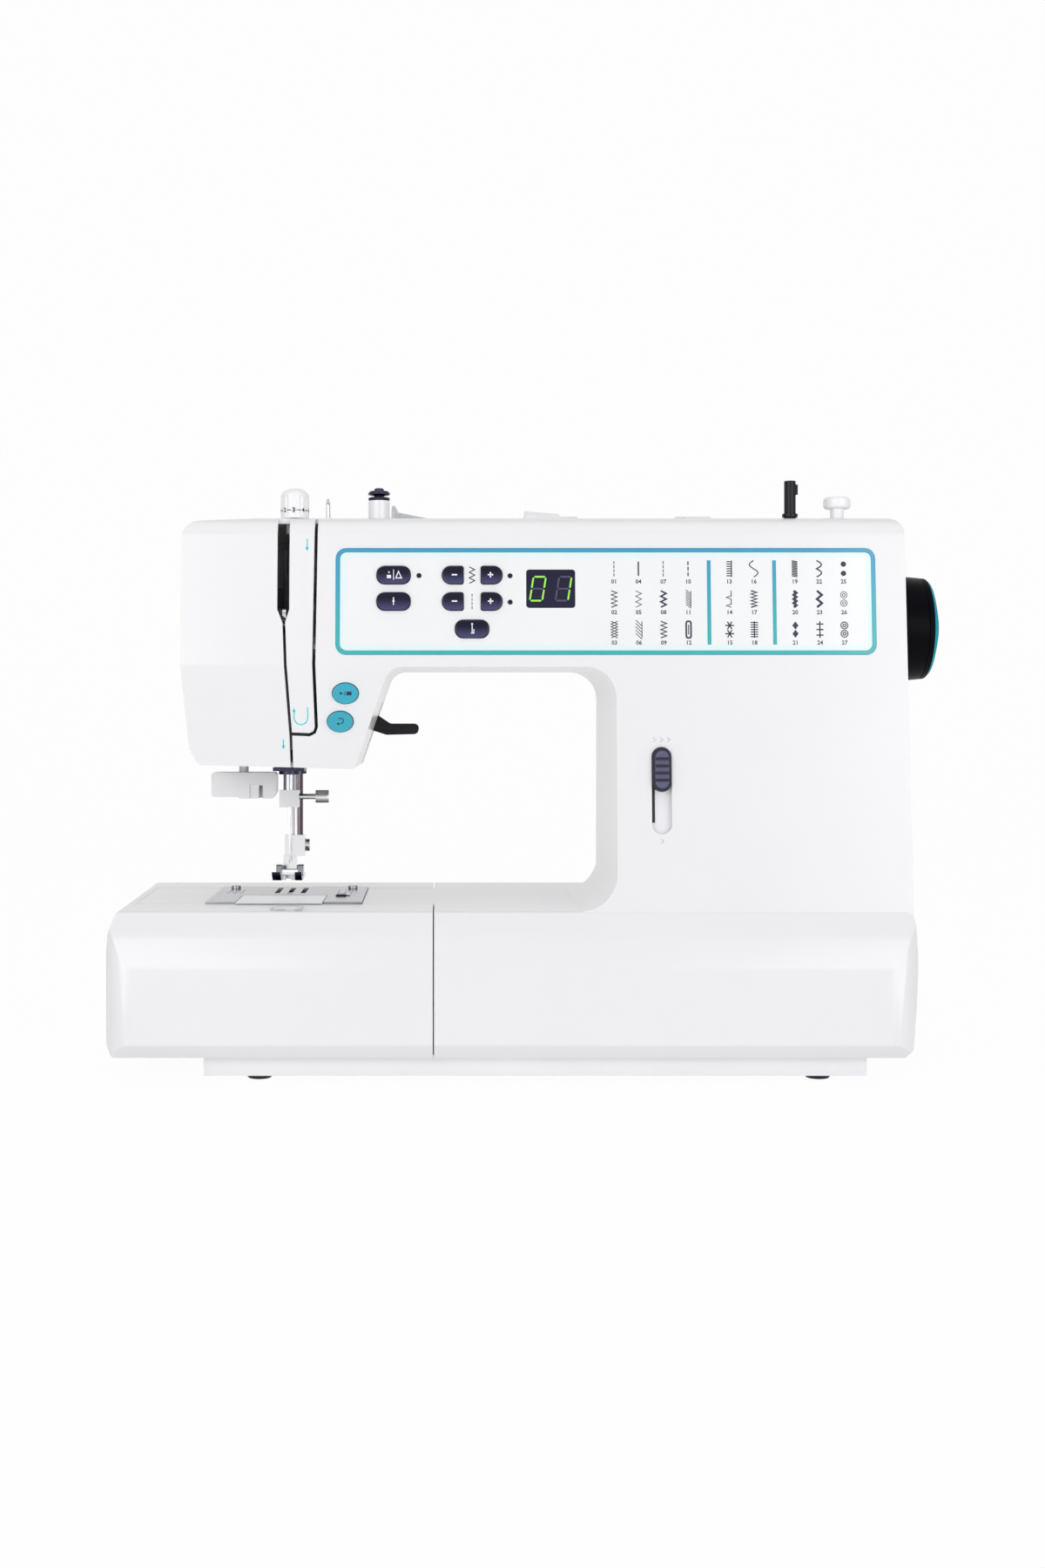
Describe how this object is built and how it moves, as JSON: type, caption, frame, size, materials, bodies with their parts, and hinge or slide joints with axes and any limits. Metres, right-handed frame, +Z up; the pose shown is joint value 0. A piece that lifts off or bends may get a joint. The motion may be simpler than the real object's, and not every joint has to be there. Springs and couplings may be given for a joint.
{
  "type": "sewing machine",
  "caption": "Free-arm domestic sewing machine with a button panel, a small display, a hand wheel and a slide-off accessory tray.",
  "frame": {"origin": "on the table, under the middle of the machine", "axes": "+Z up, +X along the arm towards the hand wheel, +Y to the back"},
  "size_m": [0.4237, 0.176, 0.2907],
  "materials": {
    "shell": "smooth gloss white moulding",
    "panel": "gloss white plate",
    "accent": "gloss teal",
    "accent_keys": "gloss teal",
    "keys": "dark navy",
    "display": "dark window",
    "white_trim": "white moulding",
    "black": "black moulding",
    "wheel": "black moulding",
    "base": "grey moulding",
    "feet": "black rubber",
    "plate": "fine brushed",
    "clear_cover": "clear plastic",
    "clear": "clear plastic",
    "steel": "ground steel",
    "chrome": "polished plating",
    "casting": "die casting",
    "pulley": "filled nylon",
    "belt": "toothed belt",
    "motor": "dark enamel",
    "board": "green laminate",
    "lens": "clear lens"
  },
  "bodies": {
    "machine": {"front_cover": "shell", "rear_cover": "shell", "face_cover": "shell", "free_arm": "shell", "base_plate": "base", "rubber_feet": "feet", "needle_plate": "plate", "panel_frame": "accent", "control_panel": "panel", "display_window": "display", "arm_casting": "casting", "control_board": "board", "power_inlet": "black", "lamp": "lens", "screws": "steel", "bushes": "steel", "drive_belts": "belt", "motor": "motor", "bobbin_case": "black", "bobbin": "clear", "presser_spring": "steel", "thread_guide": "chrome", "winder_tension": "chrome", "winder_stop": "white_trim", "spool_pin": "white_trim"},
    "tray": {"accessory_tray": "shell"},
    "drive": {"main_shaft": "steel", "hand_wheel": "wheel", "wheel_ring": "accent", "drive_pulley": "pulley"},
    "motor_rotor": {"motor_pulley": "steel"},
    "lower_drive": {"lower_shaft": "steel"},
    "hook": {"rotary_hook": "steel"},
    "feed": {"feed_dog": "steel"},
    "needle_rod": {"needle_bar": "steel", "needle_clamp": "chrome", "needle": "chrome"},
    "take_up": {"take_up_lever": "chrome"},
    "presser": {"presser_bar": "steel", "foot_holder": "chrome"},
    "foot": {"presser_foot": "chrome"},
    "lifter": {"presser_lifter": "black"},
    "threader": {"needle_threader": "white_trim"},
    "dial": {"tension_dial": "white_trim"},
    "winder": {"winder_spindle": "white_trim"},
    "cap": {"spool_cap": "clear"},
    "handle": {"carry_handle": "white_trim"},
    "plate_cover": {"bobbin_cover": "clear_cover"},
    "latch": {"cover_latch": "black"},
    "slider": {"speed_slider": "keys"},
    "rocker": {"power_switch": "black"},
    "mode_key_upper": {"mode_button_upper": "keys"},
    "mode_key_lower": {"mode_button_lower": "keys"},
    "lock_key": {"lock_button": "keys"},
    "width_minus_key": {"width_minus_button": "keys"},
    "width_plus_key": {"width_plus_button": "keys"},
    "length_minus_key": {"length_minus_button": "keys"},
    "length_plus_key": {"length_plus_button": "keys"},
    "start_key": {"start_button": "accent_keys"},
    "reverse_key": {"reverse_button": "accent_keys"}
  },
  "joints": [
    {"name": "tray_slide", "type": "slide", "parent": "machine", "child": "tray", "axis": [-1, 0, 0], "range_m": [0, 0.16]},
    {"name": "wheel_turn", "type": "hinge", "parent": "machine", "child": "drive", "pos_m": [0.1825, 0.004, 0.2208], "axis": [1, 0, 0], "continuous": true},
    {"name": "motor_turn", "type": "hinge", "parent": "machine", "child": "motor_rotor", "pos_m": [0.15, -0.022, 0.118], "axis": [1, 0, 0], "continuous": true},
    {"name": "lower_turn", "type": "hinge", "parent": "machine", "child": "lower_drive", "pos_m": [0, 0.004, 0.046], "axis": [1, 0, 0], "continuous": true},
    {"name": "hook_turn", "type": "hinge", "parent": "machine", "child": "hook", "pos_m": [-0.1262, -0.017, 0.05], "axis": [0, 0, 1], "continuous": true},
    {"name": "feed_stroke", "type": "slide", "parent": "machine", "child": "feed", "axis": [0, 1, 0], "range_m": [-0.002, 0.002]},
    {"name": "needle_stroke", "type": "slide", "parent": "machine", "child": "needle_rod", "axis": [0, 0, -1], "range_m": [0, 0.03]},
    {"name": "take_up_swing", "type": "hinge", "parent": "machine", "child": "take_up", "pos_m": [-0.128, -0.022, 0.225], "axis": [-1, 0, 0], "range_deg": [0, 50]},
    {"name": "lifter_swing", "type": "hinge", "parent": "machine", "child": "lifter", "pos_m": [-0.104, 0.018, 0.17], "axis": [0, 1, 0], "range_deg": [0, 40]},
    {"name": "presser_slide", "type": "slide", "parent": "machine", "child": "presser", "axis": [0, 0, -1], "range_m": [0, 0.0068], "deforming": ["presser_spring"]},
    {"name": "foot_rock", "type": "hinge", "parent": "presser", "child": "foot", "pos_m": [-0.1265, 0.014, 0.0956], "axis": [-1, 0, 0], "range_deg": [0, 3]},
    {"name": "threader_slide", "type": "slide", "parent": "machine", "child": "threader", "axis": [0, 0, -1], "range_m": [0, 0.028]},
    {"name": "dial_turn", "type": "hinge", "parent": "machine", "child": "dial", "pos_m": [-0.1194, -0.046, 0.28], "axis": [0, 0, 1], "range_deg": [-150, 150]},
    {"name": "winder_shift", "type": "slide", "parent": "machine", "child": "winder", "axis": [1, 0, 0], "range_m": [0, 0.006]},
    {"name": "cap_slide", "type": "slide", "parent": "machine", "child": "cap", "axis": [-1, 0, 0], "range_m": [0, 0.022]},
    {"name": "handle_swing", "type": "hinge", "parent": "machine", "child": "handle", "pos_m": [0.045, 0.024, 0.277], "axis": [1, 0, 0], "range_deg": [0, 100]},
    {"name": "plate_cover_tilt", "type": "hinge", "parent": "machine", "child": "plate_cover", "pos_m": [-0.1277, -0.007, 0.0816], "axis": [-1, 0, 0], "range_deg": [0, 25]},
    {"name": "latch_slide", "type": "slide", "parent": "machine", "child": "latch", "axis": [1, 0, 0], "range_m": [0, 0.0016]},
    {"name": "speed_slide", "type": "slide", "parent": "machine", "child": "slider", "axis": [0, -0.0732, -0.9973], "range_m": [0, 0.019]},
    {"name": "power_rock", "type": "hinge", "parent": "machine", "child": "rocker", "pos_m": [0.1705, 0.005, 0.039], "axis": [0, 1, 0], "range_deg": [0, 18]},
    {"name": "mode_press_upper", "type": "slide", "parent": "machine", "child": "mode_key_upper", "axis": [0, 0.9973, -0.0732], "range_m": [0, 0.0008], "stiffness_N_per_m": 400},
    {"name": "mode_press_lower", "type": "slide", "parent": "machine", "child": "mode_key_lower", "axis": [0, 0.9973, -0.0732], "range_m": [0, 0.0008], "stiffness_N_per_m": 400},
    {"name": "lock_press", "type": "slide", "parent": "machine", "child": "lock_key", "axis": [0, 0.9973, -0.0732], "range_m": [0, 0.0008], "stiffness_N_per_m": 400},
    {"name": "width_minus_press", "type": "slide", "parent": "machine", "child": "width_minus_key", "axis": [0, 0.9973, -0.0732], "range_m": [0, 0.0008], "stiffness_N_per_m": 400},
    {"name": "width_plus_press", "type": "slide", "parent": "machine", "child": "width_plus_key", "axis": [0, 0.9973, -0.0732], "range_m": [0, 0.0008], "stiffness_N_per_m": 400},
    {"name": "length_minus_press", "type": "slide", "parent": "machine", "child": "length_minus_key", "axis": [0, 0.9973, -0.0732], "range_m": [0, 0.0008], "stiffness_N_per_m": 400},
    {"name": "length_plus_press", "type": "slide", "parent": "machine", "child": "length_plus_key", "axis": [0, 0.9973, -0.0732], "range_m": [0, 0.0008], "stiffness_N_per_m": 400},
    {"name": "start_press", "type": "slide", "parent": "machine", "child": "start_key", "axis": [0, 0.9903, 0.1392], "range_m": [0, 0.0008], "stiffness_N_per_m": 400},
    {"name": "reverse_press", "type": "slide", "parent": "machine", "child": "reverse_key", "axis": [0, 0.9903, 0.1392], "range_m": [0, 0.0008], "stiffness_N_per_m": 400}
  ],
  "couplings": [
    {"joint": "motor_turn", "follows": "wheel_turn", "ratio": 4},
    {"joint": "lower_turn", "follows": "wheel_turn", "ratio": 1},
    {"joint": "hook_turn", "follows": "wheel_turn", "ratio": 2},
    {"joint": "take_up_swing", "follows": "needle_stroke", "rad_per_m": 29.089},
    {"joint": "presser_slide", "follows": "lifter_swing", "m_per_rad": 0.0097403}
  ]
}
